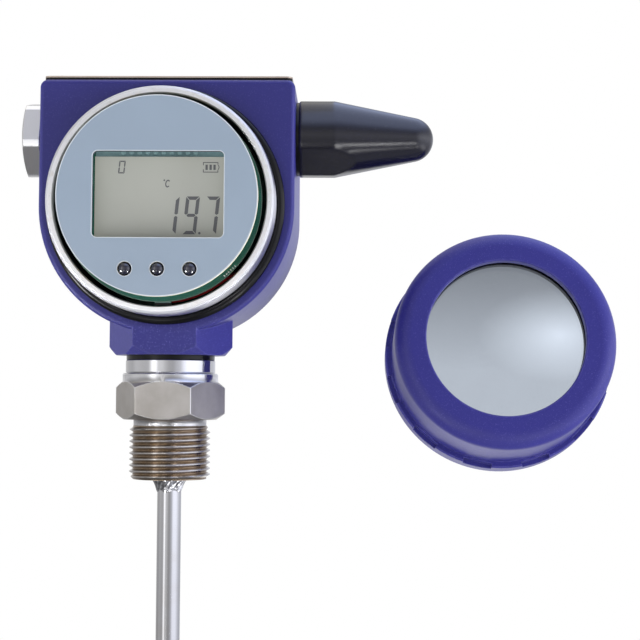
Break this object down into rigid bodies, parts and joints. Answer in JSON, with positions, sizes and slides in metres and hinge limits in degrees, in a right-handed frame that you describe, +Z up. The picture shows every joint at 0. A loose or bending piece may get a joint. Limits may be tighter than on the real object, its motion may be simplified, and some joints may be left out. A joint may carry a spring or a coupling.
{
  "type": "wireless temperature sensor",
  "caption": "Process temperature transmitter: round cast display head with stub antenna, side plug, steel neck, hexagon process thread and slim probe; its screw cap lies beside it.",
  "frame": {"origin": "centre of the process fitting's sealing shoulder, on the probe axis", "axes": "+Z up along the probe axis to the head, -Y out of the display, +X towards the antenna"},
  "size_m": [0.205, 0.0949, 0.2643],
  "materials": {
    "blue_paint": "satin powder coat",
    "bare_plate": "satin sheet",
    "black_rubber": "matt",
    "steel": "turned",
    "plated_brass": "turned",
    "radome_black": "satin moulding",
    "lead_jacket": "plain",
    "red_wire": "plain",
    "face_film": "satin film",
    "white_plate": "plain",
    "lcd_glass": "polariser",
    "board_green": "solder mask",
    "switch_black": "plain",
    "button_black": "polished",
    "connector_pale": "plain",
    "terminal_grey": "plain",
    "cell_sleeve": "shrink sleeve",
    "clear_glass": "polished"
  },
  "bodies": {
    "sensor": {"housing": "blue_paint", "cover_o_ring": "black_rubber", "name_plate": "bare_plate", "name_plate_gasket": "black_rubber", "name_plate_rivets": "bare_plate", "entry_plug": "steel", "entry_plug_seal": "black_rubber", "antenna_radome": "radome_black", "antenna_stud": "plated_brass", "antenna_element": "plated_brass", "antenna_seal": "black_rubber", "neck_seal": "black_rubber", "neck_adapter": "steel", "process_fitting": "steel", "weld_bead": "steel", "probe_tube": "steel", "sensing_element": "steel", "sensor_leads": "lead_jacket", "face_overlay": "face_film", "face_plate": "white_plate", "face_screws": "steel", "plate_spacers": "steel", "lcd_panel": "lcd_glass", "display_board": "board_green", "key_switches": "switch_black", "lead_connector": "connector_pale", "battery_lead": "red_wire", "board_pillars": "steel", "main_board": "board_green", "rear_pillars": "steel", "terminal_block": "terminal_grey", "radio_module": "steel", "antenna_cable": "switch_black", "battery_holder": "switch_black", "battery": "cell_sleeve", "cap_shell": "blue_paint", "cap_glass_gasket": "black_rubber", "cap_glass": "clear_glass", "cap_retaining_ring": "bare_plate"},
    "left_button": {"button_left": "button_black"},
    "middle_button": {"button_middle": "button_black"},
    "right_button": {"button_right": "button_black"}
  },
  "joints": [
    {"name": "left_button_press", "type": "slide", "parent": "sensor", "child": "left_button", "axis": [0, 1, 0], "range_m": [0, 0.00025], "stiffness_N_per_m": 1200},
    {"name": "middle_button_press", "type": "slide", "parent": "sensor", "child": "middle_button", "axis": [0, 1, 0], "range_m": [0, 0.00025], "stiffness_N_per_m": 1200},
    {"name": "right_button_press", "type": "slide", "parent": "sensor", "child": "right_button", "axis": [0, 1, 0], "range_m": [0, 0.00025], "stiffness_N_per_m": 1200}
  ]
}
